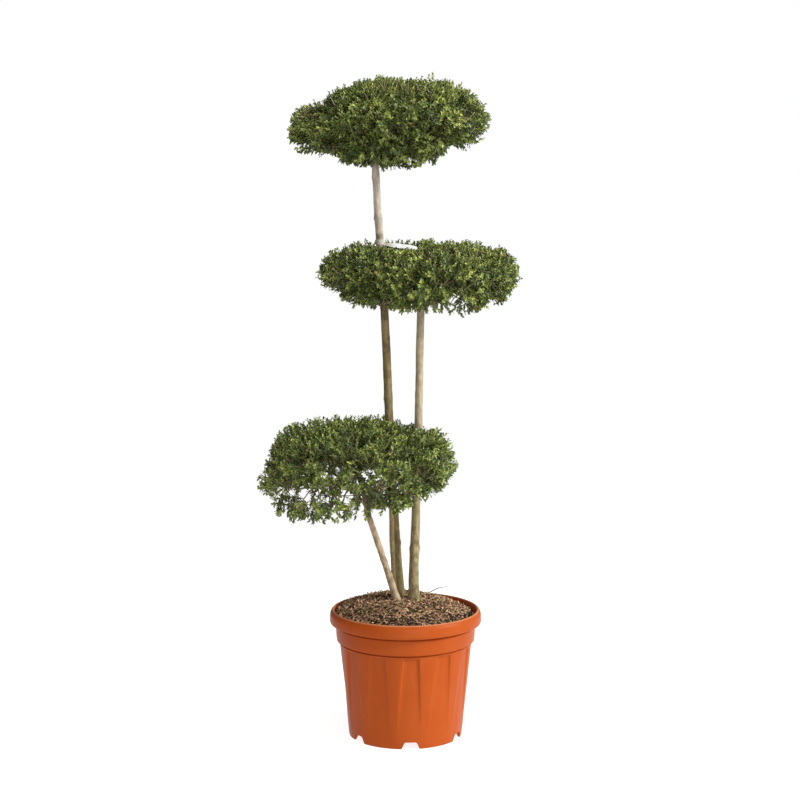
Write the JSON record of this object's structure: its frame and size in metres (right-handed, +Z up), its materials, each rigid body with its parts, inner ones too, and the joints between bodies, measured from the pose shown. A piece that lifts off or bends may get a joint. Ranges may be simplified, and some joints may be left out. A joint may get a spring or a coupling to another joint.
{
  "type": "potted privet cloud topiary",
  "caption": "Multi-stemmed clipped privet with flat leafy clouds at different heights on bare leaning stems, growing in a fluted terracotta-coloured plastic pot topped with bark mulch.",
  "frame": {"origin": "centre of the pot's flat underside, on the surface it stands on", "axes": "+Z up along the stems, -Y the front that the low clouds and the label's tail face, +X to the right seen from the front"},
  "size_m": [0.7401, 0.5515, 1.9436],
  "materials": {
    "terracotta_plastic": "satin moulded plastic, terracotta orange",
    "bark_mulch": "loose bark chips, matt brown and tan",
    "stem_bark": "smooth grey-beige bark with small knots",
    "foliage": "small satin evergreen leaves, mid and dark green with yellow-green tips",
    "label_card": "blank white plastic label"
  },
  "bodies": {
    "root": {"pot": "terracotta_plastic", "soil": "bark_mulch", "stem_leaning": "stem_bark", "stem_slender": "stem_bark", "stem_main": "stem_bark", "stem_right": "stem_bark", "cloud_low": "foliage", "cloud_middle": "foliage", "cloud_top": "foliage", "plant_label": "label_card"}
  },
  "joints": []
}
